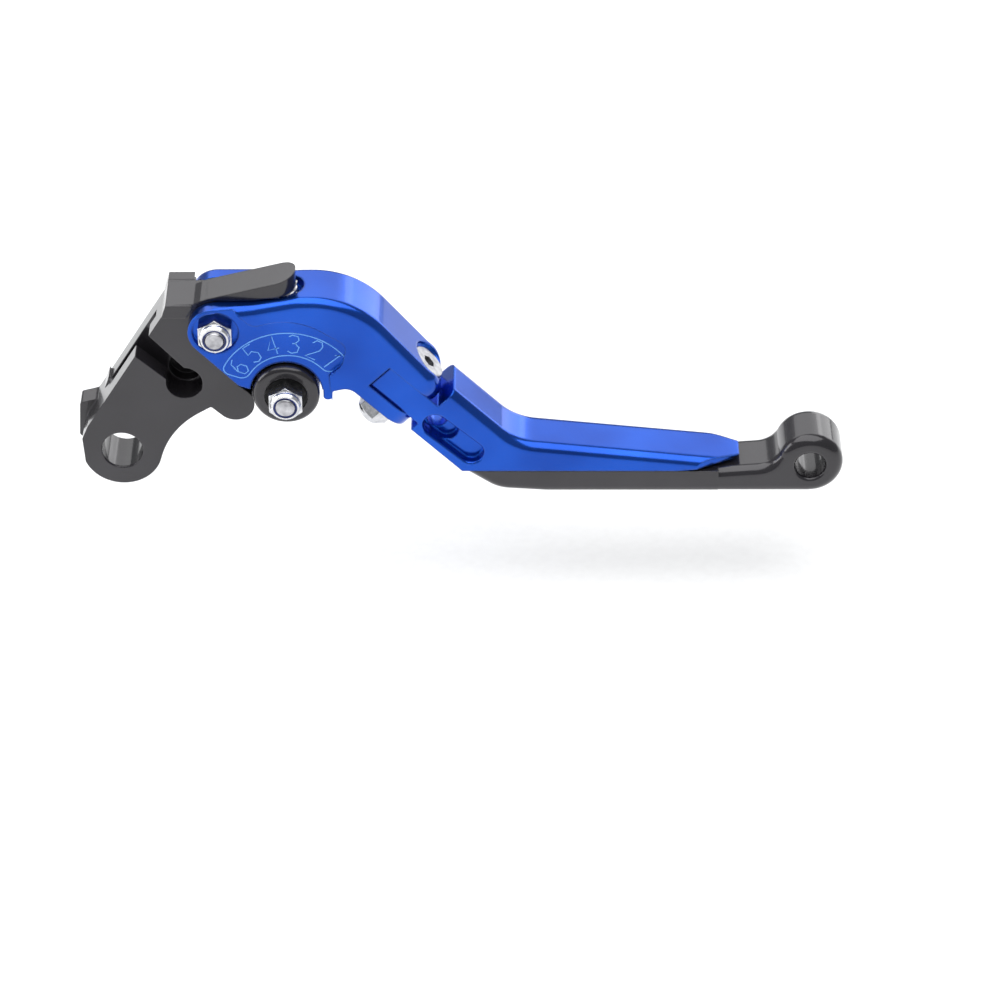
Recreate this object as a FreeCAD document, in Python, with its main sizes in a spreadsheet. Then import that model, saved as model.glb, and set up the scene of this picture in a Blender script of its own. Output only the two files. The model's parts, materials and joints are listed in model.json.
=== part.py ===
import FreeCAD, Part
import math
import os
import Sketcher
from FreeCAD import Placement, Rotation, Vector

# Folding, extendable clutch lever for a motorcycle, in millimetres.
# X runs from the pivot bore towards the ball end, Z is away from the grip, and Y is
# the pivot bore's axis. The origin is on that axis. -Y is the side with the numbers.

DIMENSIONS = (
    # alias, value, what it is
    ("plate_front", -2.7, "front face of the bracket plate and tongue"),
    ("tongue_back", 7.9, "back face of the bracket's tongue"),
    ("plate_back", 9.7, "back face of the bracket around the pivot bore"),
    ("block_front", -3.3, "front face of the block above the plate"),
    ("block_back", 11.9, "back face of the block above the plate"),
    ("arm_back", 6.3, "back face of the spring arm at its root"),
    ("pivot_bore_d", 10.0, "pivot bore for the perch screw's bush"),
    ("boss_r", 9.75, "outer radius of the bracket boss"),
    ("nipple_d", 8.4, "round pocket for the cable nipple"),
    ("nipple_floor", 8.0, "floor of the nipple pocket"),
    ("channel_floor", 5.0, "floor of the cable channel and back of the cable slit"),
    ("slit_front", 2.2, "front of the cable slit"),
    ("face_front", -7.8, "raised front face of the lever base"),
    ("face_recess", -6.5, "recessed face that carries the numbers"),
    ("ear_inner_front", -3.0, "inner face of the front ear"),
    ("ear_inner_back", 8.2, "inner face of the rear ear"),
    ("ear_outer_back", 11.7, "outer face of the rear ear"),
    ("base_back", 7.3, "back face of the lever base at the hinge"),
    ("hinge_x", 24.5, "lever pivot bolt, along X"),
    ("hinge_z", 36.8, "lever pivot bolt, along Z"),
    ("ear_r", 6.6, "radius of the ears round the lever pivot"),
    ("adjuster_x", 41.0, "adjuster bolt, along X"),
    ("adjuster_z", 19.8, "adjuster bolt, along Z"),
    ("dial_r", 8.1, "radius of the adjuster dial"),
    ("dial_front", -8.3, "front face of the adjuster dial"),
    ("dial_cut_r", 8.7, "cut-out for the dial in the front ear"),
    ("cam_pocket_r", 9.75, "pocket for the cam between the ears"),
    ("cam_front", -2.85, "front of the cam and back of the dial's disc"),
    ("cam_high", 9.2, "cam radius at step 1"),
    ("cam_low", 5.9, "cam radius at step 6"),
    ("bolt_d", 4.94, "outside of an M5 thread"),
    ("bolt_hole_d", 5.1, "clearance hole for an M5 bolt"),
    ("nut_flats", 8.0, "M5 locknut across flats"),
    ("nut_tall", 5.0, "M5 locknut height with its collar"),
    ("sleeve_d", 8.0, "lever pivot sleeve outside"),
    ("small_sleeve_d", 7.0, "adjuster and fold sleeves outside"),
    ("sleeve_gap", 0.05, "radial running clearance on the sleeves"),
    ("shim_thick", 0.26, "thickness of a lever pivot shim"),
    ("fold_axis", 35.99, "fold axis, measured along the blade root"),
    ("tongue_near", 59.16, "near face of the blade's tongue, along the fold axis"),
    ("tongue_far", 66.14, "far face of the blade's tongue, along the fold axis"),
    ("tongue_gap", 0.1, "gap between the tongue and each fold ear"),
    ("ear_near", 55.3, "outer face of the near fold ear, along the fold axis"),
    ("ear_far", 71.5, "outer face of the far fold ear, along the fold axis"),
    ("fold_ear_r", 7.2, "radius of the fold ears' ends"),
    ("blade_half", 7.0, "half the blade's width"),
    ("blade_under", -3.2, "underside of the blade, where the extension slides"),
    ("slide_gap", 0.12, "gap between the blade and the extension"),
    ("rail_tall", 1.7, "height of the extension's dovetail rail"),
    ("extension_under", -10.0, "lowest face of the extension"),
    ("ball_x", 168.4, "ball end, along X"),
    ("ball_r", 8.1, "radius of the ball end"),
    ("ball_hole_d", 7.4, "hole through the ball end"),
    ("clamp_x", 112.0, "extension clamp screw, along X"),
    ("slide_travel", 20.0, "travel of the extension"),
    ("spring_x", 41.0, "return spring, along X"),
    ("spring_y", 0.0, "return spring, along Y"),
    ("spring_d", 6.6, "return spring outside"),
    ("spring_foot", 35.0, "bottom of the spring's bore"),
)

CAM_TURN = 300.0
CAM_CONTACT_ANGLE = 205.0
ROOT_2 = math.sqrt(2)
FOLD_TILT = 45.0


class Size:
    """A length that carries its value and the sheet formula that gives it."""

    def __init__(self, value, text):
        self.value = value
        self.text = text

    def __add__(self, other):
        other = as_size(other)
        return Size(self.value + other.value, "(%s + %s)" % (self.text, other.text))

    def __sub__(self, other):
        other = as_size(other)
        return Size(self.value - other.value, "(%s - %s)" % (self.text, other.text))

    def __mul__(self, factor):
        return Size(self.value * factor, "(%s * %r)" % (self.text, float(factor)))

    def __truediv__(self, factor):
        return Size(self.value / factor, "(%s / %r)" % (self.text, float(factor)))

    def __neg__(self):
        return Size(-self.value, "(0 - %s)" % self.text)


def as_size(value):
    if isinstance(value, Size):
        return value
    return Size(float(value), "(%r)" % float(value))


def number(value):
    return as_size(value).value


doc = FreeCAD.newDocument("ClutchLever")


def make_sheet():
    sheet = doc.addObject("Spreadsheet::Sheet", "Sizes")
    sizes = {}
    for row, (alias, value, meaning) in enumerate(DIMENSIONS, start=1):
        sheet.set("A%d" % row, meaning)
        sheet.set("B%d" % row, str(value))
        sheet.setAlias("B%d" % row, alias)
        sizes[alias] = Size(float(value), "Sizes." + alias)
    doc.recompute()
    return sizes


SIZES = make_sheet()


def size(alias):
    return SIZES[alias]


def bind(thing, name, value):
    thing.setExpression(name, as_size(value).text)


# ---------------------------------------------------------------- sketch helpers

def new_body(label):
    body = doc.addObject("PartDesign::Body", label)
    body.Label = label
    return body


def sketch_on(body, name, role, offset):
    plane = next(f for f in body.Origin.OriginFeatures if f.Role == role)
    sketch = body.newObject("Sketcher::SketchObject", name)
    sketch.AttachmentSupport = [(plane, "")]
    sketch.MapMode = "FlatFace"
    sketch.AttachmentOffset = Placement(Vector(0, 0, number(offset)), Rotation())
    bind(sketch, "AttachmentOffset.Base.z", offset)
    return sketch


def side_sketch(body, name, y):
    """Sketch facing -Y in the plane at y: its own axes are X and Z."""
    return sketch_on(body, name, "XZ_Plane", -as_size(y))


def corner_fillet(before, corner, after):
    """The two tangent points of a corner, and its arc or None."""
    x, y, radius = corner
    point = Vector(x, y, 0)
    back = (Vector(before[0], before[1], 0) - point).normalize()
    ahead = (Vector(after[0], after[1], 0) - point).normalize()
    if not radius:
        return point, point, None
    half = back.getAngle(ahead) / 2
    start = point + back * (radius / math.tan(half))
    end = point + ahead * (radius / math.tan(half))
    centre = point + (back + ahead).normalize() * (radius / math.sin(half))
    first = math.atan2(start.y - centre.y, start.x - centre.x)
    last = math.atan2(end.y - centre.y, end.x - centre.x)
    if (last - first) % (2 * math.pi) > math.pi:
        first, last = last, first
    circle = Part.Circle(centre, Vector(0, 0, 1), radius)
    return start, end, Part.ArcOfCircle(circle, first, last)


def on_circle(arc, angle):
    x, y, radius = arc[:3]
    turn = math.radians(angle)
    return (x + radius * math.cos(turn), y + radius * math.sin(turn))


def entry(item):
    return on_circle(item, item[3]) if len(item) == 5 else item[:2]


def leave(item):
    return on_circle(item, item[4]) if len(item) == 5 else item[:2]


def bend_at(items, i):
    """Start point, end point and curve of one item of an outline."""
    item = items[i]
    if len(item) == 3:
        return corner_fillet(leave(items[i - 1]), item, entry(items[(i + 1) % len(items)]))
    low, high = sorted(item[3:])
    circle = Part.Circle(Vector(item[0], item[1], 0), Vector(0, 0, 1), item[2])
    arc = Part.ArcOfCircle(circle, math.radians(low), math.radians(high))
    return Vector(*entry(item), 0), Vector(*leave(item), 0), arc


def draw_outline(sketch, items):
    """Closed outline through corners (x, y, corner radius) and arcs from round_end."""
    items = [tuple(number(value) for value in item) for item in items]
    bends = [bend_at(items, i) for i in range(len(items))]
    for i, (start, end, arc) in enumerate(bends):
        following = bends[(i + 1) % len(items)][0]
        side = Vector(*entry(items[(i + 1) % len(items)]), 0) - Vector(*leave(items[i]), 0)
        require((following - end).dot(side) > -1e-6, "rounds overlap in " + sketch.Name)
        if arc:
            sketch.addGeometry(arc, False)
        if (following - end).Length > 1e-4:
            sketch.addGeometry(Part.LineSegment(end, following), False)


def draw_circle(sketch, x, y, diameter):
    centre = Vector(number(x), number(y), 0)
    circle = Part.Circle(centre, Vector(0, 0, 1), number(diameter) / 2)
    index = sketch.addGeometry(circle, False)
    for kind, value in (("DistanceX", x), ("DistanceY", y)):
        if abs(number(value)) > 1e-9:
            rule = Sketcher.Constraint(kind, -1, 1, index, 3, number(value))
            place = sketch.addConstraint(rule)
            bind(sketch, "Constraints[%d]" % place, value)
        else:
            axis = -2 if kind == "DistanceX" else -1
            sketch.addConstraint(Sketcher.Constraint("PointOnObject", index, 3, axis))
    place = sketch.addConstraint(Sketcher.Constraint("Diameter", index, number(diameter)))
    bind(sketch, "Constraints[%d]" % place, diameter)


def draw_ring_profile(sketch, points):
    """Sharp half section of a turned piece: each point is (radius, height)."""
    count = len(points)
    vectors = [Vector(number(r), number(z), 0) for r, z in points]
    for i in range(count):
        sketch.addGeometry(Part.LineSegment(vectors[i], vectors[(i + 1) % count]), False)
    for i in range(count):
        sketch.addConstraint(Sketcher.Constraint("Coincident", i, 2, (i + 1) % count, 1))
    for i, (r, z) in enumerate(points):
        for kind, value, axis in (("DistanceX", r, -2), ("DistanceY", z, -1)):
            if abs(number(value)) > 1e-9:
                rule = Sketcher.Constraint(kind, -1, 1, i, 1, number(value))
                place = sketch.addConstraint(rule)
                bind(sketch, "Constraints[%d]" % place, value)
            else:
                sketch.addConstraint(Sketcher.Constraint("PointOnObject", i, 1, axis))


def round_end(x, y, radius, first, last):
    """One arc of an outline, from the first to the last angle in degrees."""
    return [(number(x), number(y), number(radius), first, last)]


def near_path(point, corners, slack):
    """True if the point's X and Z lie within the slack of a line through the corners."""
    place = Vector(point.x, point.z, 0)
    for first, second in zip(corners, corners[1:]):
        start, end = Vector(*first, 0), Vector(*second, 0)
        along = end - start
        share = min(1.0, max(0.0, (place - start).dot(along) / along.dot(along)))
        if (start + along * share - place).Length < slack:
            return True
    return False


def tangent_angle(first, first_r, second, second_r, side):
    """Angle of the normal of the outer tangent of two circles, on one side (+1 or -1)."""
    dx, dy = number(second[0] - first[0]), number(second[1] - first[1])
    lean = math.degrees(math.acos((first_r - second_r) / math.hypot(dx, dy)))
    return math.degrees(math.atan2(dy, dx)) + side * lean


def fold_point(along, across):
    """X and Z of a point given along the fold axis and across it."""
    return ((along + across) / ROOT_2, (along - across) / ROOT_2)


# --------------------------------------------------------------- feature helpers

def add_feature(body, kind, name, sketch, length):
    feature = body.newObject("PartDesign::" + kind, name)
    feature.Profile = sketch
    sketch.Visibility = False
    feature.Length = number(length)
    bind(feature, "Length", length)
    doc.recompute()
    return feature


def pad(body, name, corners, y0, y1):
    """Solid over the outline from y0 to y1, with y0 the smaller."""
    sketch = side_sketch(body, name + "_outline", y1)
    draw_outline(sketch, corners)
    return add_feature(body, "Pad", name, sketch, as_size(y1) - y0)


def cut(body, name, corners, y0, y1):
    """Pocket over the outline from y0 to y1, with y0 the smaller."""
    before = body.Shape.Volume
    sketch = side_sketch(body, name + "_outline", y0)
    draw_outline(sketch, corners)
    feature = add_feature(body, "Pocket", name, sketch, as_size(y1) - y0)
    require(body.Shape.Volume < before, name + " cut nothing")
    return feature


def pad_round(body, name, x, z, diameter, y0, y1):
    sketch = side_sketch(body, name + "_circle", y1)
    draw_circle(sketch, x, z, diameter)
    return add_feature(body, "Pad", name, sketch, as_size(y1) - y0)


def cut_round(body, name, x, z, diameter, y0, y1):
    before = body.Shape.Volume
    sketch = side_sketch(body, name + "_circle", y0)
    draw_circle(sketch, x, z, diameter)
    feature = add_feature(body, "Pocket", name, sketch, as_size(y1) - y0)
    require(body.Shape.Volume < before, name + " cut nothing")
    return feature


def cut_down(body, name, corners, z_high, z_low):
    """Pocket seen from above, from z_high down to z_low."""
    before = body.Shape.Volume
    sketch = sketch_on(body, name + "_plan", "XY_Plane", z_high)
    draw_outline(sketch, corners)
    feature = add_feature(body, "Pocket", name, sketch, as_size(z_high) - z_low)
    require(body.Shape.Volume < before, name + " cut nothing")
    return feature


def cut_down_round(body, name, x, y, diameter, z_high, z_low):
    before = body.Shape.Volume
    sketch = sketch_on(body, name + "_circle", "XY_Plane", z_high)
    draw_circle(sketch, x, y, diameter)
    feature = add_feature(body, "Pocket", name, sketch, as_size(z_high) - z_low)
    require(body.Shape.Volume < before, name + " cut nothing")
    return feature


def fold_place(along):
    """Placement whose Z runs along the fold axis from this height."""
    x, z = fold_point(number(along), number(size("fold_axis")))
    return Placement(Vector(x, 0, z), Rotation(Vector(0, 1, 0), FOLD_TILT))


def fold_hole(body, name, start, end, start_d, end_d):
    """Round or tapered hole on the fold axis."""
    before = body.Shape.Volume
    straight = number(start_d) == number(end_d)
    kind = "SubtractiveCylinder" if straight else "SubtractiveCone"
    hole = body.newObject("PartDesign::" + kind, name)
    if straight:
        hole.Radius = number(start_d) / 2
        bind(hole, "Radius", as_size(start_d) / 2)
    else:
        hole.Radius1 = number(start_d) / 2
        hole.Radius2 = number(end_d) / 2
    hole.Height = number(end) - number(start)
    bind(hole, "Height", as_size(end) - start)
    hole.Placement = fold_place(start)
    doc.recompute()
    require(body.Shape.Volume < before, name + " cut nothing")
    return hole


def round_edges(body, name, radius, wanted):
    """Fillet on every edge of the body whose points all pass the test."""
    names = []
    for i, edge in enumerate(body.Shape.Edges, start=1):
        first, last = edge.ParameterRange
        steps = [first + (last - first) * k / 4 for k in range(5)]
        if all(wanted(edge.valueAt(step)) for step in steps):
            names.append("Edge%d" % i)
    require(names, name + " found no edge")
    tip = body.Tip
    fillet = body.newObject("PartDesign::Fillet", name)
    fillet.Base = (tip, names)
    fillet.Radius = number(radius)
    doc.recompute()
    require(fillet.isValid(), name + " failed")
    return fillet


def require(condition, message):
    if not condition:
        raise RuntimeError(message)


def near(value, target, slack=0.02):
    return abs(value - number(target)) < slack


# -------------------------------------------------------------------- the pieces

HINGE = (size("hinge_x"), size("hinge_z"))
ADJUSTER = (size("adjuster_x"), size("adjuster_z"))
NIPPLE = (16.1, 19.9)
RELIEF = ((76.8, 10.2), (85.5, 2.3))
NOSE = (28.2, 13.8)
NOSE_R = 4.7
SPRING_ARM_TIP = 43.9
FAR = 60.0


def make_bracket():
    """Black bracket: pivot boss, cable seat, tongue for the lever and spring arm."""
    body = new_body("bracket")
    front = size("plate_front")
    outline = [(-9.6, 3.4, 0.5), (-8.2, 6.8, 2), (11.5, 39.0, 0.6), (12.6, 42.4, 0)]
    outline += [(22.0, 42.8, 0)]
    outline += round_end(*HINGE, 6.4, 88, -8)
    outline += [(28.6, 19.7, 1.5)]
    outline += round_end(*NOSE, NOSE_R, 47, -135)
    outline += [(22.3, 12.9, 0.6), (12.05, 6.64, 22)]
    outline += round_end(0, 0, size("boss_r"), -16, -160)
    pad(body, "plate", outline, front, size("tongue_back"))

    thick = [(-9.6, 3.4, 0.5), (-8.2, 6.8, 2), (11.5, 39.0, 0.6), (12.6, 42.4, 0)]
    thick += [(19.3, 42.4, 0), (17.3, 38.4, 1), (17.3, 31.0, 3), (23.2, 22.0, 4)]
    thick += [(22.3, 12.9, 2), (12.05, 6.64, 22)]
    thick += round_end(0, 0, size("boss_r"), -16, -160)
    pad(body, "thick_plate", thick, size("tongue_back") - 1, size("plate_back"))

    block = [(11.45, 38.9, 0), (12.6, 42.45, 0), (18.9, 42.5, 0), (18.9, 41.4, 0), (17.4, 38.9, 0.5)]
    pad(body, "block", block, size("block_front"), front + 1)
    pad(body, "block_rear", block, size("plate_back") - 1, size("block_back"))

    add_spring_arm(body)

    tab = [(-10.4, 9.2, 0.8), (-5.2, 10.6, 3), (-3.0, 16.5, 0)]
    tab += [(2.0, 8.0, 0), (-4.0, -2.0, 0), (-11.0, -0.6, 1)]
    pad(body, "switch_tab", tab, 4.5, size("plate_back"))

    cut_round(body, "pivot_bore", 0, 0, size("pivot_bore_d"), -FAR, FAR)
    channel = [(0.8, 31.2, 0), (12.0, 20.8, 0), (16.0, 17.0, 2)]
    channel += [(20.6, 16.6, 2.0), (20.4, 19.6, 1.2), (4.5, 37.8, 0)]
    cut(body, "cable_channel", channel, -FAR, size("channel_floor"))
    floor = size("channel_floor")
    cut_round(body, "nipple_mouth", *NIPPLE, size("nipple_d") + 0.5, -FAR, floor)
    cut_round(body, "nipple_pocket", *NIPPLE, size("nipple_d"), -FAR, size("nipple_floor"))
    slit = [(*NIPPLE, 0), (-4.6, 15.6, 0), (-10.0, 18.0, 0), (4.0, 42.0, 0), (10.6, 35.2, 0)]
    cut(body, "cable_slit", slit, size("slit_front"), size("channel_floor"))

    cut_round(body, "tongue_bore", *HINGE, size("sleeve_d") + size("sleeve_gap") * 2, -FAR, FAR)
    bore_edge = lambda p: near(math.hypot(p.x, p.z), size("pivot_bore_d") / 2)
    round_edges(body, "bore_lips", 0.4, bore_edge)
    before = body.Shape.Volume
    seat = body.newObject("PartDesign::SubtractiveCylinder", "spring_seat")
    seat.Radius = 3.6
    seat.Height = 8.0
    seat.Placement = Placement(Vector(number(size("spring_x")), number(size("spring_y")), 40.0), Rotation())
    doc.recompute()
    require(body.Shape.Volume < before, "spring seat cut nothing")
    return body


def add_spring_arm(body):
    """Arm over the lever base: it rises along X and leans towards the numbers."""
    front, back = number(size("plate_front")), number(size("arm_back"))
    web = [(18.0, 38.0, 0), (18.0, 42.45, 0), (18.9, 42.5, 0.3), (20.9, 43.5, 1), (28.4, 46.2, 0)]
    web += [(29.0, 42.5, 0), (28.0, 38.0, 0)]
    pad(body, "arm_web", web, front, back)
    arm = [(22.4, 44.1, 0), (SPRING_ARM_TIP, 51.75, 0), (SPRING_ARM_TIP, 47.4, 0)]
    arm += [(34.0, 44.98, 0), (28.0, 44.3, 0), (22.4, 43.95, 0)]
    pad(body, "spring_arm", arm, -8.0, back)
    lean = 3.1 / 20.1
    tip = number(size("arm_back")) - lean * (SPRING_ARM_TIP - 21.9)
    tip_front = front - lean * (SPRING_ARM_TIP - 21.9)
    middle = tip_front + 5.1
    past = SPRING_ARM_TIP + 3
    front_side = [(22.0, front, 0), (SPRING_ARM_TIP, tip_front, 4.3), (SPRING_ARM_TIP, middle, 0)]
    front_side += [(past, middle, 0), (past, -20, 0), (22.0, -20, 0)]
    cut_down(body, "arm_front_side", front_side, FAR, 43.6)
    back_side = [(22.0, back, 0), (SPRING_ARM_TIP, tip, 4.3), (SPRING_ARM_TIP, middle, 0)]
    back_side += [(past, middle, 0), (past, 20, 0), (22.0, 20, 0)]
    cut_down(body, "arm_back_side", back_side, FAR, 43.6)


def lever_top():
    """Top outline of the lever base, from the ear to the far fold ear."""
    return [(28.0, 43.9, 10), (34.0, 44.6, 10), (44.0, 46.6, 14), (57.9, 46.8, 22), (75.1, 25.99, 12)]


def fold_end():
    """Outer corners of the two fold ears, far ear first."""
    reach = number(size("fold_axis")) + number(size("fold_ear_r"))
    far = fold_point(number(size("ear_far")), reach)
    near_ear = fold_point(number(size("ear_near")), reach)
    return [(far[0], far[1], 0), (near_ear[0], near_ear[1], 0)]


def make_lever_base():
    """Blue lever base: two ears, recessed face, adjuster pocket, fold clevis."""
    body = new_body("lever_base")
    back = size("base_back")
    front = size("face_front")
    outline = [(24.0, 43.5, 0)] + lever_top() + fold_end()
    outline += [(56.3, 21.9, 3.5), (52.2, 20.9, 0.6), (52.1, 17.7, 1.0), (49.9, 17.7, 1.0)]
    outline += [(49.9, 20.6, 0), (32.4, 20.7, 0), (29.6, 21.66, 2.5), (26.5, 25.0, 0)]
    pad(body, "raised_block", outline, front, back)

    def along_top(p):
        return p.z > 24 or p.x > 72

    def on_top_of(y):
        return lambda p: near(p.y, y) and along_top(p) and p.z > 20.0 - 0.6 and above_middle(p)

    round_edges(body, "front_top_round", 2.3, on_top_of(front))
    round_edges(body, "back_top_round", 1.2, on_top_of(back))

    reach = number(size("fold_axis")) + number(size("fold_ear_r"))

    def ear_end(p):
        across = (p.x - p.z) / ROOT_2
        return near(across, reach) and (near(p.y, front) or near(p.y, back))

    round_edges(body, "fold_ear_ends", 6.9, ear_end)

    ear = round_end(*HINGE, size("ear_r"), 94, 223)
    ear += [(29.6, 21.66, 2.5), (31.5, 21.0, 0), (31.5, 39.0, 0)]
    pad(body, "ear", ear, size("face_recess"), back)

    rear_r = 9.0
    lean = tangent_angle(HINGE, number(size("ear_r")), ADJUSTER, rear_r, -1) % 360
    rear = round_end(*HINGE, size("ear_r"), 90, lean)
    rear += round_end(*ADJUSTER, rear_r, lean, 375) + [(44.0, 43.4, 5)]
    pad(body, "rear_plate", rear, back - 2, size("ear_outer_back"))

    inner_front, inner_back = size("ear_inner_front"), size("ear_inner_back")
    slot = [(5, 5, 0), (5, FAR, 0), (33.0, FAR, 0), (33.0, 15, 0), (33.0, 5, 0)]
    cut(body, "tongue_slot", [slot[0], slot[1], slot[2], slot[4]], inner_front, inner_back)
    cut_round(body, "cam_pocket", *ADJUSTER, size("cam_pocket_r") * 2, inner_front, inner_back)
    cut_round(body, "dial_cut", *ADJUSTER, size("dial_cut_r") * 2, -FAR, inner_front)
    return finish_lever_base(body)


def above_middle(p):
    """True on the side of the base away from the grip."""
    return p.x + p.z > 68.0 + 20.0 or (p.x < 50 and p.z > 40)


def finish_lever_base(body):
    front, inner_front = size("face_front"), size("ear_inner_front")
    recess = [(10, 60, 0), (19.8, 53.0, 0), (33.4, 39.2, 3), (43.5, 42.2, 16), (55.9, 34.0, 3.2)]
    recess += [(54.8, 28.3, 4), (51.4, 25.2, 1.5), (52.6, 10.0, 0), (10, 10, 0)]
    cut(body, "number_recess", recess, -FAR, size("face_recess"))

    cut_round(body, "nut_seat", *HINGE, 11.2, -FAR, -4.8)
    cut_round(body, "head_seat", *HINGE, 9.6, 10.2, FAR)
    cut_round(body, "adjuster_head_seat", *ADJUSTER, 9.6, 10.2, FAR)
    cut_round(body, "hinge_hole", *HINGE, size("bolt_hole_d"), -FAR, FAR)
    cut_round(body, "adjuster_hole", *ADJUSTER, size("bolt_hole_d"), -FAR, FAR)

    near_face = number(size("tongue_near")) - number(size("tongue_gap"))
    far_face = number(size("tongue_far")) + number(size("tongue_gap"))
    clevis = [fold_point(near_face, 27.1), fold_point(far_face, 27.1)]
    clevis += [fold_point(far_face, 50.0), fold_point(near_face, 50.0)]
    cut(body, "fold_clevis", [(x, z, 0) for x, z in clevis], -FAR, FAR)
    ear_far = size("ear_far")
    bore = size("bolt_hole_d")
    fold_hole(body, "fold_bore", size("ear_near") - 5, ear_far + 5, bore, bore)
    fold_hole(body, "fold_head_seat", ear_far - 0.8, ear_far + 5, 10.6, 10.6)
    fold_hole(body, "fold_countersink", ear_far - 3.6, ear_far - 0.8, 4.6, 10.2)

    cut_down_round(body, "spring_mouth", size("spring_x"), size("spring_y"), 9.6, FAR, 44.2)
    cut_down_round(body, "spring_bore", size("spring_x"), size("spring_y"), 7.4, 45.0, size("spring_foot"))

    return body


def make_adjuster_dial():
    """Black dial with the spiral cam behind it, turning on its sleeve."""
    body = new_body("adjuster_dial")
    cam_front = size("cam_front")
    pad_round(body, "dial", *ADJUSTER, size("dial_r") * 2, size("dial_front"), cam_front)
    rim = lambda p: near(p.y, size("dial_front")) and p.x > 0
    round_edges(body, "dial_rim", 1.4, rim)
    cut_round(body, "washer_recess", *ADJUSTER, 10.5, -FAR, -7.5)
    sketch = side_sketch(body, "cam_outline", size("tongue_back"))
    points = []
    step = 15
    for turn in range(0, 360, step):
        points.append(cam_point(turn))
    curve = Part.BSplineCurve()
    curve.interpolate(Points=points, PeriodicFlag=True)
    sketch.addGeometry(curve, False)
    add_feature(body, "Pad", "cam", sketch, size("tongue_back") - cam_front)
    sleeve_bore = size("small_sleeve_d") + size("sleeve_gap") * 2
    cut_round(body, "sleeve_bore", *ADJUSTER, sleeve_bore, -FAR, FAR)
    return body


def cam_point(turn):
    """Point of the cam at this angle past step 1: a spiral, then a quick way back."""
    high, low = number(size("cam_high")), number(size("cam_low"))
    if turn <= CAM_TURN:
        radius = high - (high - low) * turn / CAM_TURN
    else:
        share = max(0.0, (turn - CAM_TURN - 15.0) / 45.0)
        radius = low + (high - low) * share * share * (3 - 2 * share)
    angle = math.radians(CAM_CONTACT_ANGLE + turn)
    x, z = number(ADJUSTER[0]), number(ADJUSTER[1])
    return Vector(x + radius * math.cos(angle), z + radius * math.sin(angle), 0)


def make_blade():
    """Blue folding blade: tongue, relief slot, rounded top and a boat-shaped tip."""
    body = new_body("blade")
    half = size("blade_half")
    shoulder = 43.63
    low = fold_point(56.6, shoulder)
    high = fold_point(71.56, shoulder)
    outline = [(low[0] - 3.5, low[1] - 3.5, 0), (high[0], high[1], 0), (96.44, 4.76, 14)]
    outline += [(170.0, -3.1, 0), (170.0, -9.0, 0), (76.0, -9.0, 0)]
    pad(body, "blade_bar", outline, -half, half)

    def top_edge(p):
        return near(abs(p.y), half) and p.x + p.z > 90 and p.z > -3.3 and p.x < 171

    def long_top(p):
        return top_edge(p) and not near(p.x, 170.0) and p.x + 1.0 * p.z > 101 - 0.2

    round_edges(body, "top_rounds", 2.5, long_top)
    under = [(60.0, 20.2, 0), (83.3, -3.2, 0), (136.0, -3.2, 30), (156.0, -1.35, 0), (180.0, -1.3, 0)]
    under += [(180.0, -30.0, 0), (60.0, -30.0, 0)]
    cut(body, "underside", under, -FAR, FAR)
    for side, name in ((-1, "tip_front"), (1, "tip_back")):
        plan = [(139.0, side * 7.6, 4), (151.2, side * 2.85, 0.6), (151.2, 0, 0)]
        plan += [(175, 0, 0), (175, side * 20, 0), (139.0, side * 20, 0)]
        cut_down(body, name, plan, FAR, -FAR)

    near_face, far_face = number(size("tongue_near")), number(size("tongue_far"))
    tongue = [fold_point(near_face, 27.72), fold_point(far_face, 27.72)]
    tongue += [fold_point(far_face, 46.0), fold_point(near_face, 46.0)]
    pad(body, "tongue", [(x, z, 0) for x, z in tongue], -half, half)
    rear_corner = lambda p: near((p.x - p.z) / ROOT_2, 27.72) and near(p.y, half)
    round_edges(body, "tongue_rear_corner", 6.4, rear_corner)
    bore = size("small_sleeve_d") + size("sleeve_gap") * 2
    fold_hole(body, "tongue_bore", near_face - 5, far_face + 5, bore, bore)
    return cut_blade_details(body)


def cut_blade_details(body):
    low = number(size("blade_under")) - 1
    relief = relief_outline(*RELIEF, 3.0)
    cut(body, "relief_slot", relief, -FAR, -4.6)
    lip = lambda p: near(p.y, -number(size("blade_half"))) and near_path(p, RELIEF, 3.4)
    round_edges(body, "relief_lip", 0.6, lip)
    deep = relief_outline((76.8, 10.2), (79.6, 7.66), 2.9)
    cut(body, "relief_deep", deep, -FAR, -2.6)
    cut_round(body, "relief_hole", 77.2, 9.84, 5.2, -FAR, FAR)
    sketch = sketch_on(body, "rail_groove_section", "YZ_Plane", 84.0)
    gap = 0.12
    top = low + 1 + number(size("rail_tall")) + gap
    wide, narrow = 3.6 + gap, 2.7 + gap
    groove = [(-narrow, low, 0), (narrow, low, 0), (narrow, low + 1, 0), (wide, top, 0)]
    groove += [(-wide, top, 0), (-narrow, low + 1, 0)]
    draw_outline(sketch, groove)
    before = body.Shape.Volume
    feature = add_feature(body, "Pocket", "rail_groove", sketch, 80.0)
    feature.Reversed = True
    doc.recompute()
    require(body.Shape.Volume < before, "rail groove cut nothing")
    sketch_z = number(size("blade_under"))
    cut_down_round(body, "clamp_thread", size("clamp_x"), 0, 4.05, 1.6, sketch_z - 2)
    return body


def relief_outline(first, last, radius):
    """Round-ended slot between two centres."""
    heading = math.degrees(math.atan2(last[1] - first[1], last[0] - first[0]))
    corners = round_end(*first, radius, heading + 90, heading + 270)
    corners += round_end(*last, radius, heading + 270, heading + 450)
    return corners


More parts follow.
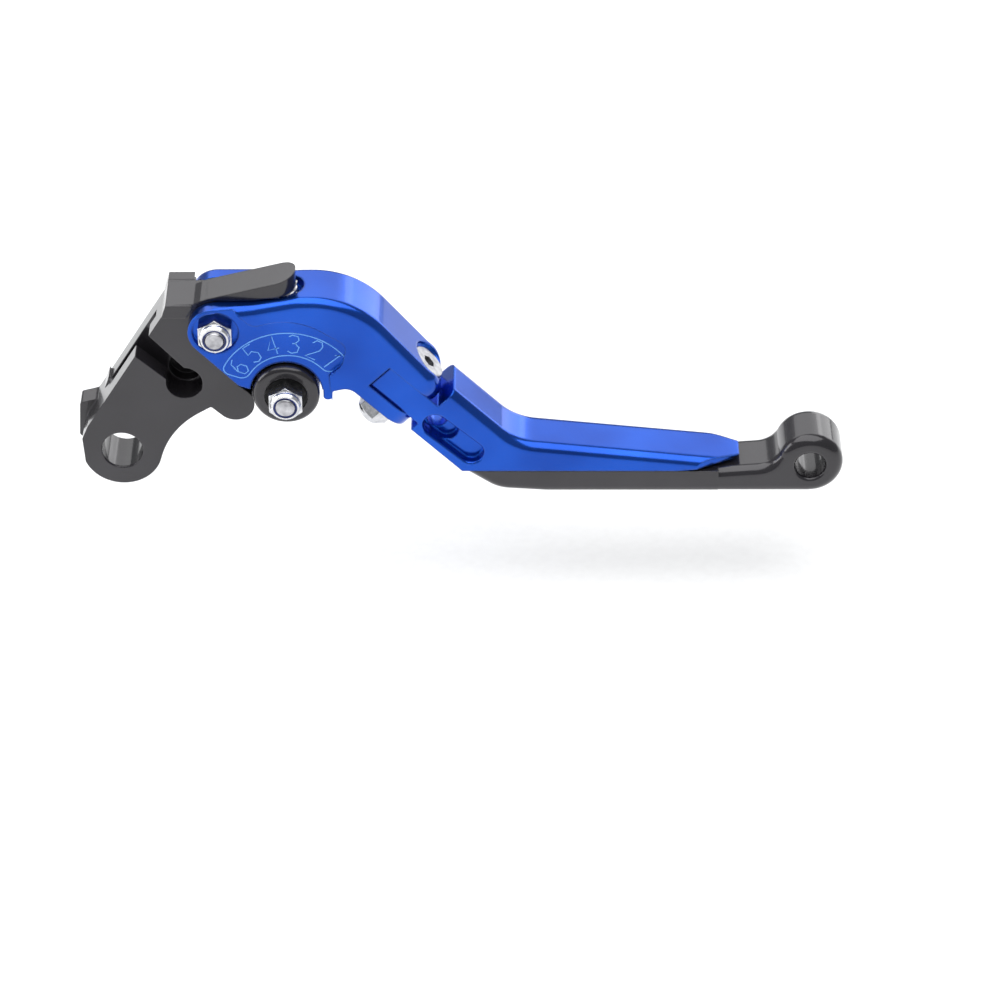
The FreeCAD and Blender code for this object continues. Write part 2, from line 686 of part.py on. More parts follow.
def add_ball(body, x, z, radius):
    """Rounded disc on an axis along Y, with a hole that is eased at both faces."""
    half = number(size("blade_half"))
    sketch = sketch_on(body, "ball_section", "XY_Plane", z)
    section = [(x, -half, 0), (x + radius, -half, 2.6), (x + radius, half, 2.6), (x, half, 0)]
    draw_outline(sketch, section)
    axis = sketch.addGeometry(Part.LineSegment(Vector(x, -half, 0), Vector(x, half, 0)), True)
    require(sketch.getConstruction(axis), "the ball's axis is not a construction line")
    ball = body.newObject("PartDesign::Revolution", "ball")
    ball.Profile = sketch
    ball.ReferenceAxis = (sketch, ["Axis0"])
    ball.Angle = 360
    sketch.Visibility = False
    doc.recompute()
    cut_round(body, "ball_hole", x, z, size("ball_hole_d"), -FAR, FAR)
    lips = lambda p: near(abs(p.y), half) and math.hypot(p.x - x, p.z - z) < 4.0
    round_edges(body, "hole_lips", 0.9, lips)


def make_extension():
    """Black sliding tip: bar under the blade, dovetail rail, neck and ball."""
    body = new_body("extension")
    half = size("blade_half")
    under = number(size("extension_under"))
    top = number(size("blade_under")) - number(size("slide_gap"))
    ball_x, ball_r = number(size("ball_x")), number(size("ball_r"))
    ball_z = under + ball_r
    neck = [(140.0, under, 0), (140.0, top, 0), (146.0, top, 20), (158.6, -2.3, 6)]
    neck += [(162.4, 3.0, 0), (ball_x, 3.0, 0), (ball_x, under, 0)]
    pad(body, "neck", neck, -half, half)

    def neck_top(p):
        return near(abs(p.y), half) and (near(p.z, under) or (p.z > top - 0.05 and p.x < 162.5))

    round_edges(body, "neck_rounds", 2.5, neck_top)
    bar = [(83.4, top, 0), (146.0, top, 0), (146.0, under, 0), (104.0, under, 14), (92.0, -9.2, 10)]
    pad(body, "bar", bar, -half, half)
    lower = lambda p: near(abs(p.y), half) and near(p.z, under) and p.x < 146.1
    round_edges(body, "lower_rounds", 2.3, lower)
    add_ball(body, ball_x, ball_z, ball_r)

    sketch = sketch_on(body, "rail_section", "YZ_Plane", 86.0)
    rail_top = number(size("blade_under")) + number(size("rail_tall"))
    rail = [(-2.7, top - 0.6, 0), (2.7, top - 0.6, 0), (2.7, top, 0), (3.6, rail_top, 0)]
    rail += [(-3.6, rail_top, 0), (-2.7, top, 0)]
    draw_outline(sketch, rail)
    add_feature(body, "Pad", "rail", sketch, 44.0)
    first = number(size("clamp_x")) - number(size("slide_travel"))
    last = number(size("clamp_x"))
    slot = [(first - 0.2, 0), (last + 0.2, 0)]
    cut_down(body, "clamp_slot", relief_outline(*slot, 2.15), FAR, -FAR)
    cut_down(body, "clamp_slot_seat", relief_outline(*slot, 4.7), -6.4, -FAR)
    return body


# --------------------------------------------------------------------- fasteners

def turned(label, points):
    body = new_body(label)
    sketch = sketch_on(body, label + "_section", "XZ_Plane", 0)
    draw_ring_profile(sketch, points)
    turn = body.newObject("PartDesign::Revolution", label + "_turned")
    turn.Profile = sketch
    turn.ReferenceAxis = (sketch, ["V_Axis"])
    turn.Angle = 360
    sketch.Visibility = False
    doc.recompute()
    return body


def hex_outline(flats):
    reach = number(flats) / 2 / math.cos(math.radians(30))
    angles = [math.radians(60 * k + 30) for k in range(6)]
    return [(reach * math.cos(a), reach * math.sin(a), 0) for a in angles]


def cut_hex_socket(body, flats, z_top, depth):
    before = body.Shape.Volume
    sketch = sketch_on(body, "socket_outline", "XY_Plane", z_top)
    draw_outline(sketch, hex_outline(flats))
    add_feature(body, "Pocket", "socket", sketch, depth)
    require(body.Shape.Volume < before, "socket cut nothing")


def make_button_bolt(label, length, place):
    """M5 button-head bolt: the head sits on z = 0 and the thread runs to -Z."""
    r = size("bolt_d") / 2
    profile = [(0, 2.6), (2.2, 2.6), (3.7, 1.9), (4.5, 0.9), (4.5, 0), (r, 0)]
    profile += [(r, -as_size(length) + 0.5), (r - 0.5, -as_size(length)), (0, -as_size(length))]
    body = turned(label, profile)
    cut_hex_socket(body, 3.0, 2.6, 1.7)
    body.Placement = place
    return body


def make_fold_screw(place, length):
    """M5 countersunk socket screw: its head's face is z = 0 and it runs to -Z."""
    r = size("bolt_d") / 2
    profile = [(0, 0), (4.4, 0), (4.65, -0.35), (r, -2.55), (r, -as_size(length) + 0.5)]
    profile += [(r - 0.5, -as_size(length)), (0, -as_size(length))]
    body = turned("fold_screw", profile)
    cut_hex_socket(body, 3.0, 0, 2.2)
    body.Placement = place
    return body


def make_nut(label, place):
    """M5 locknut standing on z = 0: hexagon, chamfered crown and thin collar."""
    body = new_body(label)
    sketch = sketch_on(body, label + "_hexagon", "XY_Plane", 0)
    draw_outline(sketch, hex_outline(size("nut_flats")))
    add_feature(body, "Pad", label + "_hex", sketch, 3.7)
    trim = sketch_on(body, label + "_crown", "XZ_Plane", 0)
    draw_ring_profile(trim, [(3.9, 3.7), (4.7, 3.25), (4.7, 4.2), (3.9, 4.2)])
    groove = body.newObject("PartDesign::Groove", label + "_chamfer")
    groove.Profile = trim
    groove.ReferenceAxis = (trim, ["V_Axis"])
    groove.Angle = 360
    trim.Visibility = False
    doc.recompute()
    tall = size("nut_tall")
    wall = sketch_on(body, label + "_collar_section", "XZ_Plane", 0)
    outside = [(2.6, 3.4), (3.85, 3.4), (3.75, 4.35), (3.3, tall)]
    draw_ring_profile(wall, outside + [(2.9, tall), (2.9, 4.8), (2.6, 4.8)])
    collar = body.newObject("PartDesign::Revolution", label + "_collar")
    collar.Profile = wall
    collar.ReferenceAxis = (wall, ["V_Axis"])
    collar.Angle = 360
    wall.Visibility = False
    doc.recompute()
    cut_down_round(body, "thread", 0, 0, 5.0, 8, -2)
    cut_down_round(body, "insert_seat", 0, 0, 6.04, tall - 0.2, 3.5)
    body.Placement = place
    return body


def make_ring(label, inner_d, outer_d, z0, z1, place):
    inner, outer = as_size(inner_d) / 2, as_size(outer_d) / 2
    body = turned(label, [(inner, z0), (outer, z0), (outer, z1), (inner, z1)])
    body.Placement = place
    return body


def facing_front(place, y):
    """Placement at (x, z) on plane y whose Z points to -Y."""
    point = Vector(number(place[0]), number(y), number(place[1]))
    return Placement(point, Rotation(Vector(1, 0, 0), 90))


def facing_back(place, y):
    point = Vector(number(place[0]), number(y), number(place[1]))
    return Placement(point, Rotation(Vector(1, 0, 0), -90))


def facing_near(along):
    """Placement on the fold axis whose Z points back towards the grip."""
    return fold_place(along).multiply(Placement(Vector(), Rotation(Vector(1, 0, 0), 180)))


def make_lever_pivot():
    nut_seat = -4.8
    head_seat = 10.2
    inner_front, inner_back = size("ear_inner_front"), size("ear_inner_back")
    nut_tip = nut_seat - number(size("nut_tall")) - 0.5
    make_button_bolt("lever_pivot_bolt", head_seat - nut_tip, facing_back(HINGE, head_seat))
    make_nut("lever_pivot_nut", facing_front(HINGE, nut_seat))
    make_insert("lever_pivot_nut_insert", facing_front(HINGE, nut_seat))
    gap = inner_back - inner_front
    make_ring("lever_pivot_sleeve", 5.06, size("sleeve_d"), 0, gap, facing_back(HINGE, inner_front))
    thick = size("shim_thick")
    sleeve_bore = size("sleeve_d") + 0.1
    body = turned("shim_front", [(sleeve_bore / 2, 0), (6.0, 0), (6.0, thick), (sleeve_bore / 2, thick)])
    body.Placement = facing_back(HINGE, number(inner_front) + 0.02)
    other = turned("shim_rear", [(sleeve_bore / 2, 0), (6.0, 0), (6.0, thick), (sleeve_bore / 2, thick)])
    other.Placement = facing_front(HINGE, number(inner_back) - 0.02)
    pair = doc.addObject("Part::Compound", "lever_pivot_shims")
    pair.Label = "lever_pivot_shims"
    pair.Links = [body, other]
    return pair


def make_insert(label, place):
    make_ring(label, 4.96, 6.0, 3.52, 4.78, place)


def make_adjuster_fasteners():
    washer_floor = -7.5
    head_seat = 10.2
    washer = 0.8
    nut_seat = washer_floor - washer
    nut_tip = nut_seat - number(size("nut_tall")) - 0.4
    make_button_bolt("adjuster_bolt", head_seat - nut_tip, facing_back(ADJUSTER, head_seat))
    make_nut("adjuster_nut", facing_front(ADJUSTER, nut_seat))
    make_insert("adjuster_nut_insert", facing_front(ADJUSTER, nut_seat))
    make_ring("adjuster_washer", 5.3, 10.0, 0.05, washer, facing_front(ADJUSTER, washer_floor))
    length = size("ear_inner_back") - washer_floor + 0.05
    sleeve_end = facing_front(ADJUSTER, size("ear_inner_back"))
    make_ring("adjuster_sleeve", 5.06, size("small_sleeve_d"), 0, length, sleeve_end)


def make_fold_fasteners():
    ear_near = number(size("ear_near")) - 0.02
    washer = 1.0
    nut_seat = ear_near - washer
    head_face = number(size("ear_far")) - 0.82
    nut_tip = nut_seat - number(size("nut_tall")) - 0.6
    make_fold_screw(fold_place(head_face), head_face - nut_tip)
    make_nut("fold_nut", facing_near(nut_seat))
    make_insert("fold_nut_insert", facing_near(nut_seat))
    make_ring("fold_washer", 5.3, 10.0, 0, washer, facing_near(ear_near))
    gap = size("tongue_gap")
    length = size("tongue_far") - size("tongue_near") + gap * 2
    start = number(size("tongue_near")) - number(gap)
    make_ring("fold_sleeve", 5.06, size("small_sleeve_d"), 0, length, fold_place(start))


def make_clamp():
    """M4 button screw and washer that hold the extension where it is set."""
    seat = -6.4
    washer = 0.8
    r = 1.98
    head = seat - washer
    profile = [(0, head - 2.2), (2.0, head - 2.2), (3.2, head - 1.6), (3.8, head - 0.7), (3.8, head)]
    profile += [(r, head), (r, 1.0), (r - 0.4, 1.4), (0, 1.4)]
    body = turned("extension_clamp_screw", profile)
    sketch = sketch_on(body, "socket_outline", "XY_Plane", head - 2.2 + 1.5)
    draw_outline(sketch, hex_outline(2.5))
    add_feature(body, "Pocket", "socket", sketch, 1.5)
    at_clamp = Placement(Vector(number(size("clamp_x")), 0, 0), Rotation())
    body.Placement = at_clamp
    make_ring("extension_clamp_washer", 4.3, 8.6, head, seat - 0.02, at_clamp)


def make_return_spring():
    """Envelope of the coil spring between the lever base and the bracket's arm."""
    foot = size("spring_foot")
    inner, outer, top = 2.2, size("spring_d") / 2, 47.95
    body = turned("return_spring", [(inner, foot), (outer, foot), (outer, top), (inner, top)])
    place = Vector(number(size("spring_x")), number(size("spring_y")), 0)
    body.Placement = Placement(place, Rotation())
    return body


def build():
    make_bracket()
    make_lever_base()
    make_adjuster_dial()
    make_blade()
    make_extension()
    make_lever_pivot()
    make_adjuster_fasteners()
    make_fold_fasteners()
    make_clamp()
    make_return_spring()
    doc.recompute()


def sub_parts():
    inside = ("shim_front", "shim_rear")
    bodies = [o for o in doc.Objects if o.TypeId in ("PartDesign::Body", "Part::Compound")]
    return [b for b in bodies if b.Label not in inside]


def check_and_write():
    for thing in doc.Objects:
        bad = {"Invalid", "Error"} & set(thing.State)
        require(not bad, "%s is %s" % (thing.Name, ", ".join(bad)))
    for part in sub_parts():
        require(not part.Shape.isNull() and part.Shape.isValid(), part.Label + " has no valid shape")
        wanted = 2 if part.Label == "lever_pivot_shims" else 1
        strays = [str(solid.BoundBox) for solid in part.Shape.Solids]
        require(len(strays) == wanted, "%s has %d solids: %s" % (part.Label, len(strays), strays))
    os.makedirs("parts", exist_ok=True)
    for part in sub_parts():
        part.Shape.exportStep("parts/%s.step" % part.Label)
        print("%-26s %8.1f mm3, %d solid" % (part.Label, part.Shape.Volume, len(part.Shape.Solids)))


build()
check_and_write()
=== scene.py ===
import json
import math
import bpy
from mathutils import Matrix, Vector


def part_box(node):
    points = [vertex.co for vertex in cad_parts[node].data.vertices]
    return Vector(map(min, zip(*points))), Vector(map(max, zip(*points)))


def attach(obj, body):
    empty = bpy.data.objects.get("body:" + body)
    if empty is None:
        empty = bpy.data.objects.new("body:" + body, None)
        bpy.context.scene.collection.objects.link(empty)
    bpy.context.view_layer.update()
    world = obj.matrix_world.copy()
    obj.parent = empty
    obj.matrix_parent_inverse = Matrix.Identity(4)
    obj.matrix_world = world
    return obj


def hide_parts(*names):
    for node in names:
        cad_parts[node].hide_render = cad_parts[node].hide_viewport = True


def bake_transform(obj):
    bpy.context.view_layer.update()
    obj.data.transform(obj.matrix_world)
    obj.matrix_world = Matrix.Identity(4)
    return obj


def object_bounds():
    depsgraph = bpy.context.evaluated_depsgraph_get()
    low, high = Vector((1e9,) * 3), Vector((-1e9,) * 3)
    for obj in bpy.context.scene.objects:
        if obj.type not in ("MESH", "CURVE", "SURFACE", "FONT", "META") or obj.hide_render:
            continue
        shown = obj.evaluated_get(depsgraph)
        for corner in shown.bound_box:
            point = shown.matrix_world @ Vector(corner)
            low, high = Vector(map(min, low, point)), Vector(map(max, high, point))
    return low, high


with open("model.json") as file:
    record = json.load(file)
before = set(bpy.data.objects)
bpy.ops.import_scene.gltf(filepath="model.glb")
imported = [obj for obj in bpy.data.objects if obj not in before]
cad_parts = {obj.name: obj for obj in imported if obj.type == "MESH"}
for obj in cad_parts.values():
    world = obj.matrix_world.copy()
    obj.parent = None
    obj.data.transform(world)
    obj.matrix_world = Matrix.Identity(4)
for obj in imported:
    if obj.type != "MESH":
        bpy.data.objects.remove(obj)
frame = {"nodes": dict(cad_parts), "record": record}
cad_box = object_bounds()
MM = 0.001
NUMBER_FACE = -6.5 * MM  # plane of the face that carries the numbers
REACH_DROP = 25 * MM  # room under the part for the tip's swing at full reach
FLOOR_GAP = 0.5 * MM
FLOOR_HALF = 3.0

WIRE_RADIUS = 0.5 * MM
SPRING_TURNS = 8
STEPS_PER_TURN = 24

BANNER_SHIFT = 0.6 * MM  # the numbers' centre beyond the adjuster bolt
DIGIT_RADIUS = 14.0 * MM
DIGIT_WIDE, DIGIT_TALL = 3.3 * MM, 5.2 * MM
FIRST_DIGIT, DIGIT_STEP = 148.3, 21.6  # degrees
STROKE_HALF = 0.15 * MM
BANNER = {
    "low_angle": 30.0, "high_angle": 160.0, "inner": 10.7 * MM, "outer": 17.1 * MM, "corner": 1.9 * MM,
}


# ------------------------------------------------------------------- materials

def new_material(name):
    material = bpy.data.materials.new(name)
    material.use_nodes = True
    nodes = material.node_tree.nodes
    return material, nodes, material.node_tree.links, nodes["Principled BSDF"]


def object_point(nodes, links, stretch=(1, 1, 1)):
    """Position on the piece in its own coordinates, stretched along each axis."""
    place = nodes.new("ShaderNodeTexCoord")
    mapping = nodes.new("ShaderNodeMapping")
    mapping.inputs["Scale"].default_value = stretch
    links.new(place.outputs["Object"], mapping.inputs["Vector"])
    return mapping.outputs["Vector"]


def noise(nodes, links, point, scale, detail=3.0):
    texture = nodes.new("ShaderNodeTexNoise")
    texture.inputs["Scale"].default_value = scale
    texture.inputs["Detail"].default_value = detail
    links.new(point, texture.inputs["Vector"])
    return texture.outputs["Fac"]


def ramp(nodes, links, source, stops):
    """Colour ramp from a 0 to 1 value: stops are (place, colour)."""
    node = nodes.new("ShaderNodeValToRGB")
    elements = node.color_ramp.elements
    while len(elements) < len(stops):
        elements.new(0.5)
    for element, (place, colour) in zip(elements, stops):
        element.position = place
        element.color = (*colour, 1)
    links.new(source, node.inputs["Fac"])
    return node.outputs["Color"]


def spread(nodes, links, source, low, high):
    node = nodes.new("ShaderNodeMapRange")
    node.inputs["To Min"].default_value = low
    node.inputs["To Max"].default_value = high
    links.new(source, node.inputs["Value"])
    return node.outputs["Result"]


def soft_edges(nodes, radius):
    """Normal that rounds every edge over this radius, in metres."""
    node = nodes.new("ShaderNodeBevel")
    node.samples = 6
    node.inputs["Radius"].default_value = radius
    return node.outputs["Normal"]


def bump(nodes, links, shader, height, depth, strength=0.4, edge=0.00025):
    """Surface relief from a height, over softly broken edges."""
    node = nodes.new("ShaderNodeBump")
    node.inputs["Strength"].default_value = strength
    node.inputs["Distance"].default_value = depth
    links.new(height, node.inputs["Height"])
    links.new(soft_edges(nodes, edge), node.inputs["Normal"])
    links.new(node.outputs["Normal"], shader.inputs["Normal"])


def painted_edge_highlight(nodes, links, base, bright, share):
    """Mixes a paler colour into the edges as a painted highlight, where the rounded normal leaves the flat
    one.
    """
    alike = nodes.new("ShaderNodeVectorMath")
    alike.operation = "DOT_PRODUCT"
    links.new(soft_edges(nodes, 0.0002), alike.inputs[0])
    links.new(nodes.new("ShaderNodeNewGeometry").outputs["Normal"], alike.inputs[1])
    mask = ramp(nodes, links, alike.outputs["Value"], [(0.86, (share,) * 3), (0.995, (0, 0, 0))])
    mix = nodes.new("ShaderNodeMix")
    mix.data_type = "RGBA"
    links.new(mask, mix.inputs["Factor"])
    links.new(base, mix.inputs["A"])
    mix.inputs["B"].default_value = (*bright, 1)
    return mix.outputs["Result"]


def anodised(name, dark, light, edge, rough, coat, metallic, soft):
    """Anodised aluminium: fine milling grain, slight tone change, paler edges as a painted highlight."""
    material, nodes, links, shader = new_material(name)
    point = object_point(nodes, links)
    broad = noise(nodes, links, point, 45.0, 2.0)
    tone = ramp(nodes, links, broad, [(0.3, dark), (0.7, light)])
    # paler edges: a painted highlight along every edge, in a brighter copy of the base colour
    tone = painted_edge_highlight(nodes, links, tone, edge, 0.3)
    links.new(tone, shader.inputs["Base Color"])
    grain = noise(nodes, links, object_point(nodes, links, (1, 1, 9)), 900.0, 4.0)
    links.new(spread(nodes, links, grain, rough - 0.04, rough + 0.05), shader.inputs["Roughness"])
    bump(nodes, links, shader, grain, 0.00001, 0.08, soft)
    shader.inputs["Metallic"].default_value = metallic
    shader.inputs["Coat Weight"].default_value = coat
    shader.inputs["Coat Roughness"].default_value = 0.05
    return material


def metal(name, dark, light, rough, stretch=(1, 1, 1), depth=0.00003):
    material, nodes, links, shader = new_material(name)
    grain = noise(nodes, links, object_point(nodes, links, stretch), 700.0, 5.0)
    links.new(ramp(nodes, links, grain, [(0.3, dark), (0.7, light)]), shader.inputs["Base Color"])
    links.new(spread(nodes, links, grain, rough - 0.06, rough + 0.1), shader.inputs["Roughness"])
    bump(nodes, links, shader, grain, depth, 0.15)
    shader.inputs["Metallic"].default_value = 1.0
    return material


def plastic(name, dark, light, rough):
    material, nodes, links, shader = new_material(name)
    mottle = noise(nodes, links, object_point(nodes, links), 400.0, 3.0)
    links.new(ramp(nodes, links, mottle, [(0.35, dark), (0.65, light)]), shader.inputs["Base Color"])
    links.new(spread(nodes, links, mottle, rough - 0.05, rough + 0.08), shader.inputs["Roughness"])
    bump(nodes, links, shader, mottle, 0.00002, 0.2)
    return material


def threaded(name, dark, light, rough, axis, pitch):
    """Bolt steel with the rings of its thread as bump, along one row axis."""
    material, nodes, links, shader = new_material(name)
    place = nodes.new("ShaderNodeTexCoord").outputs["Object"]
    along = nodes.new("ShaderNodeVectorMath")
    along.operation = "DOT_PRODUCT"
    along.inputs[1].default_value = axis
    links.new(place, along.inputs[0])
    turn = nodes.new("ShaderNodeMath")
    turn.operation = "MULTIPLY"
    turn.inputs[1].default_value = 2 * math.pi / pitch
    links.new(along.outputs["Value"], turn.inputs[0])
    wave = nodes.new("ShaderNodeMath")
    wave.operation = "SINE"
    links.new(turn.outputs["Value"], wave.inputs[0])
    grain = noise(nodes, links, place, 600.0, 4.0)
    links.new(ramp(nodes, links, grain, [(0.3, dark), (0.7, light)]), shader.inputs["Base Color"])
    links.new(spread(nodes, links, grain, rough - 0.05, rough + 0.1), shader.inputs["Roughness"])
    bump(nodes, links, shader, wave.outputs["Value"], 0.00018, 0.6)
    shader.inputs["Metallic"].default_value = 1.0
    return material


BLUE = anodised(
    "blue_anodised", (0.003, 0.054, 0.38), (0.008, 0.09, 0.55), (0.12, 0.4, 1.0), 0.2, 0.3, 0.92, 0.0008)
BLACK = anodised(
    "black_anodised", (0.02, 0.018, 0.021), (0.032, 0.03, 0.035), (0.13, 0.13, 0.14), 0.2, 0.5, 0.4, 0.0005)
DARK_STEEL = metal("black_steel", (0.012, 0.012, 0.013), (0.03, 0.03, 0.03), 0.35)
STAINLESS = metal("stainless", (0.55, 0.56, 0.58), (0.82, 0.82, 0.84), 0.2)
SCREW = metal("screw_steel", (0.28, 0.28, 0.3), (0.55, 0.55, 0.57), 0.3)
ACROSS_BOLT = threaded("bolt_steel", (0.3, 0.3, 0.32), (0.6, 0.6, 0.62), 0.28, (0, 1, 0), 0.0008)
SPRING = metal("spring_steel", (0.45, 0.45, 0.47), (0.78, 0.78, 0.8), 0.22)
NYLON = plastic("nylon", (0.01, 0.02, 0.14), (0.03, 0.06, 0.3), 0.42)
BRONZE = metal("bronze", (0.4, 0.24, 0.08), (0.62, 0.42, 0.18), 0.35)
MARK = plastic("engraved_mark", (0.1, 0.34, 0.9), (0.16, 0.45, 1.0), 0.4)

BY_SLOT = {
    "blue_anodised": BLUE, "black_anodised": BLACK, "stainless": STAINLESS, "screw_steel": SCREW,
    "spring_steel": SPRING, "nylon": NYLON, "bronze": BRONZE, "black_steel": DARK_STEEL,
}


def paint_nodes():
    for entry in frame["record"]["subparts"]:
        piece = frame["nodes"][entry["node"]]
        material = BY_SLOT[entry["material_slot"]]
        if entry["node"] in ("lever_pivot_bolt", "adjuster_bolt"):
            material = ACROSS_BOLT
        for place in piece.material_slots:
            place.material = material


# ------------------------------------------------------------- pieces made here

def mesh_piece(name, vertices, faces, material, smooth=True):
    mesh = bpy.data.meshes.new(name)
    mesh.from_pydata(vertices, [], faces)
    mesh.update()
    for polygon in mesh.polygons:
        polygon.use_smooth = smooth
    mesh.materials.append(material)
    piece = bpy.data.objects.new(name, mesh)
    bpy.context.scene.collection.objects.link(piece)
    return piece


def tube_along(name, points, radius, material, sides=12):
    """Closed tube of round wire through the points."""
    vertices, faces = [], []
    for i, point in enumerate(points):
        ahead = points[min(i + 1, len(points) - 1)] - points[max(i - 1, 0)]
        across = ahead.cross(Vector((0, 0, 1)))
        if across.length < 1e-9:
            across = Vector((1, 0, 0))
        across.normalize()
        other = ahead.cross(across).normalized()
        for k in range(sides):
            turn = 2 * math.pi * k / sides
            vertices.append(point + (across * math.cos(turn) + other * math.sin(turn)) * radius)
    for i in range(len(points) - 1):
        for k in range(sides):
            a, b = i * sides + k, i * sides + (k + 1) % sides
            faces.append((a, b, b + sides, a + sides))
    last = (len(points) - 1) * sides
    faces.append(tuple(reversed(range(sides))))
    faces.append(tuple(range(last, last + sides)))
    return mesh_piece(name, vertices, faces, material)


def make_spring():
    """Compression spring in its CAD envelope, its coils a little wider apart at the ends."""
    low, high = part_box("return_spring")
    x, y = (low[0] + high[0]) / 2, (low[1] + high[1]) / 2
    radius = (high[0] - low[0]) / 2 - WIRE_RADIUS
    bottom, top = low[2] + WIRE_RADIUS, high[2] - WIRE_RADIUS
    count = SPRING_TURNS * STEPS_PER_TURN
    points = []
    for i in range(count + 1):
        share = i / count
        lift = share + 0.045 * math.sin(2 * math.pi * share)
        angle = 2 * math.pi * SPRING_TURNS * share
        height = bottom + (top - bottom) * lift
        points.append(Vector((x + radius * math.cos(angle), y + radius * math.sin(angle), height)))
    coil = tube_along("spring_coil", points, WIRE_RADIUS, SPRING)
    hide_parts("return_spring")
    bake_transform(coil)


# strokes of each numeral, as share of its width and height
DIGIT_STROKES = {
    "1": [[(0.25, 0.8), (0.5, 1.0), (0.5, 0.0)]],
    "2": [[(0.1, 0.8), (0.3, 1.0), (0.7, 1.0), (0.9, 0.8), (0.85, 0.55), (0.1, 0.0), (0.9, 0.0)]],
    "3": [[(0.1, 0.9), (0.35, 1.0), (0.75, 0.95), (0.85, 0.75), (0.6, 0.55), (0.4, 0.54)],
          [(0.6, 0.55), (0.9, 0.35), (0.8, 0.08), (0.4, 0.0), (0.1, 0.1)]],
    "4": [[(0.7, 0.0), (0.7, 1.0), (0.1, 0.3), (0.95, 0.3)]],
    "5": [[(0.85, 1.0), (0.2, 1.0), (0.15, 0.55), (0.55, 0.62), (0.88, 0.4), (0.8, 0.1),
           (0.45, 0.0), (0.1, 0.1)]],
    "6": [[(0.8, 0.95), (0.4, 0.85), (0.13, 0.4), (0.25, 0.06), (0.6, 0.0), (0.88, 0.2),
           (0.8, 0.48), (0.5, 0.56), (0.18, 0.4)]],
}


def ribbon(points, half):
    """Flat stroke of constant width in the X-Z plane, as vertices and faces."""
    vertices, faces = [], []
    for i, point in enumerate(points):
        ahead = (points[min(i + 1, len(points) - 1)] - points[max(i - 1, 0)]).normalized()
        side = Vector((-ahead[2], 0, ahead[0])) * half
        vertices += [point + side, point - side]
    for i in range(len(points) - 1):
        faces.append((2 * i, 2 * i + 1, 2 * i + 3, 2 * i + 2))
    return vertices, faces


def on_dial_circle(angle, radius, y):
    """Point at this angle round a centre just beyond the adjuster bolt, on the plane y."""
    low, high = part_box("adjuster_washer")
    x, z = (low[0] + high[0]) / 2 + BANNER_SHIFT, (low[2] + high[2]) / 2
    turn = math.radians(angle)
    return Vector((x + radius * math.cos(turn), y, z + radius * math.sin(turn)))


def frame_path(low_angle, high_angle, inner, outer, corner, y):
    """Closed outline between two circles round the dial, with rounded corners."""
    points = []
    for radius, side, start, end in ((outer, -1, high_angle, low_angle), (inner, 1, low_angle, high_angle)):
        ease = math.degrees(corner / radius)
        turn = 1 if end > start else -1
        for k in range(6):
            bend = math.pi / 2 * k / 5
            lift = side * corner * (1 - math.sin(bend))
            points.append(on_dial_circle(start + turn * ease * (1 - math.cos(bend)), radius + lift, y))
        for k in range(1, 40):
            along = start + turn * ease + (end - start - 2 * turn * ease) * k / 40
            points.append(on_dial_circle(along, radius, y))
        for k in range(6):
            bend = math.pi / 2 * k / 5
            lift = side * corner * (1 - math.cos(bend))
            points.append(on_dial_circle(end - turn * ease * (1 - math.sin(bend)), radius + lift, y))
    return points + points[:1]


def make_numbers():
    """Step numbers and their frame, as thin marks lying on the face round the dial."""
    face = NUMBER_FACE - 0.02 * MM
    vertices, faces = [], []

    def add(points):
        more, links = ribbon(points, STROKE_HALF)
        offset = len(vertices)
        vertices.extend(more)
        faces.extend([tuple(k + offset for k in link) for link in links])

    for place, digit in enumerate("654321"):
        angle = FIRST_DIGIT - DIGIT_STEP * place
        centre = on_dial_circle(angle, DIGIT_RADIUS, face)
        lean = math.radians(angle - 90)
        right = Vector((math.cos(lean), 0, math.sin(lean)))
        up = Vector((-math.sin(lean), 0, math.cos(lean)))
        for stroke in DIGIT_STROKES[digit]:
            add([centre + right * (x - 0.5) * DIGIT_WIDE + up * (z - 0.5) * DIGIT_TALL
                 for x, z in stroke])
    add(frame_path(y=face, **BANNER))
    numbers = mesh_piece("step_numbers", vertices, faces, MARK, smooth=False)
    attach(numbers, "lever_base")


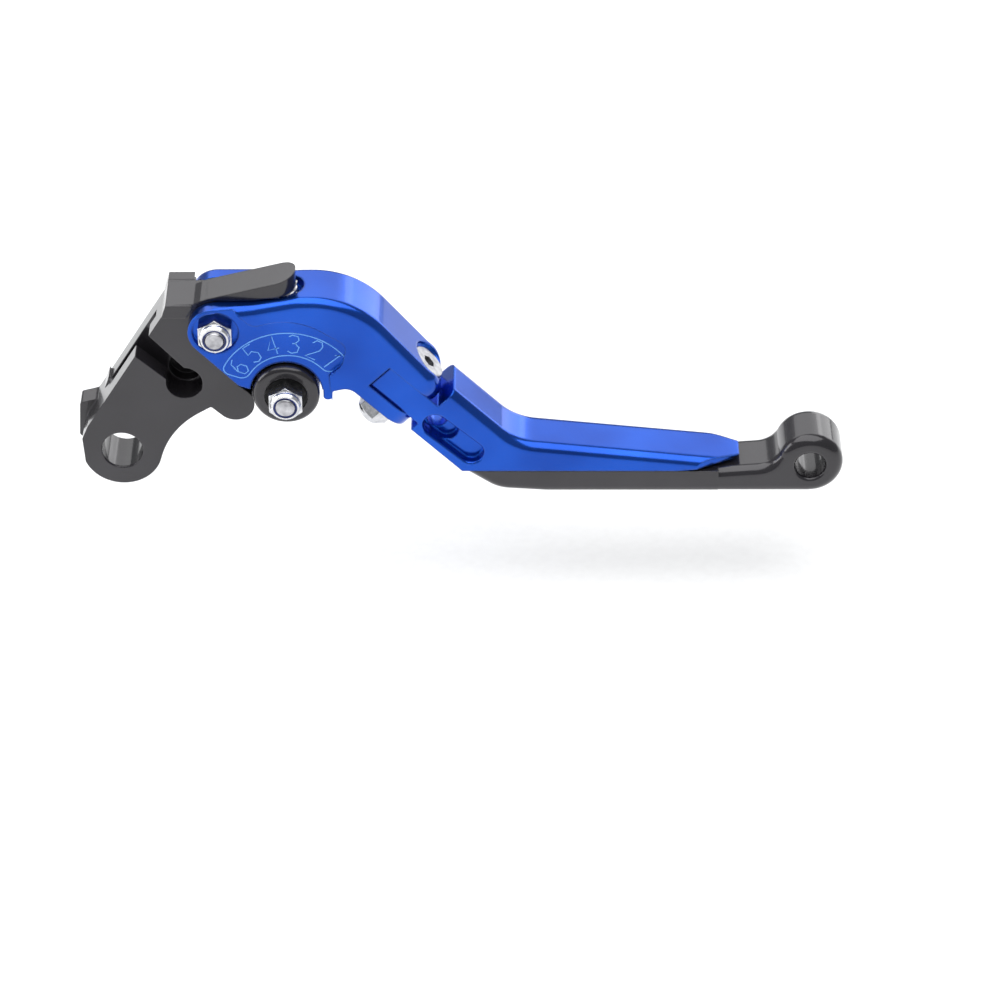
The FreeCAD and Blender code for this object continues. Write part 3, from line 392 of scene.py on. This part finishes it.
# --------------------------------------------------------------- floor and light

def make_floor():
    low, high = cad_box
    level = low[2] - REACH_DROP - FLOOR_GAP
    corners = [(x * FLOOR_HALF, y * FLOOR_HALF, level) for x, y in ((-1, -1), (1, -1), (1, 1), (-1, 1))]
    card = plastic("floor_card", (0.93, 0.93, 0.93), (0.96, 0.96, 0.96), 0.6)
    floor = mesh_piece("floor", corners, [(0, 1, 2, 3)], card)


def area_light(name, place, target, size, power):
    data = bpy.data.lights.new(name, "AREA")
    data.shape = "RECTANGLE"
    data.size, data.size_y = size
    data.energy = power
    light = bpy.data.objects.new(name, data)
    light.location = place
    light.rotation_euler = (Vector(target) - Vector(place)).to_track_quat("-Z", "Y").to_euler()
    bpy.context.scene.collection.objects.link(light)


def make_lights():
    """Large soft box above, two behind for the tops, one at the left, in a dim room."""
    middle = (0.08, 0, 0.02)
    area_light("above", (0.05, -0.05, 0.8), middle, (1.3, 1.0), 9.5)
    area_light("behind", (0.1, 0.75, 0.55), middle, (1.2, 0.35), 1.8)
    area_light("behind_right", (0.65, 0.85, 0.28), middle, (0.7, 0.5), 2.4)
    area_light("left", (-0.75, -0.1, 0.3), middle, (0.4, 0.5), 2.5)
    world = bpy.data.worlds.new("studio")
    world.use_nodes = True
    world.node_tree.nodes["Background"].inputs["Color"].default_value = (0.95, 0.97, 1, 1)
    world.node_tree.nodes["Background"].inputs["Strength"].default_value = 0.35
    bpy.context.scene.world = world
    bpy.context.scene.view_settings.view_transform = "Standard"


def make_camera():
    """Long lens 36 degrees above the horizon, looking along +Y."""
    data = bpy.data.cameras.new("camera")
    data.sensor_width = 36.0
    data.lens = 143.86
    data.clip_start, data.clip_end = 0.05, 20.0
    camera = bpy.data.objects.new("camera", data)
    camera.location = (0.092659, -0.802780, 0.566060)
    camera.rotation_euler = (math.radians(54), 0, 0)
    bpy.context.scene.collection.objects.link(camera)
    bpy.context.scene.camera = camera


make_camera()
paint_nodes()
make_spring()
make_numbers()
make_floor()
make_lights()
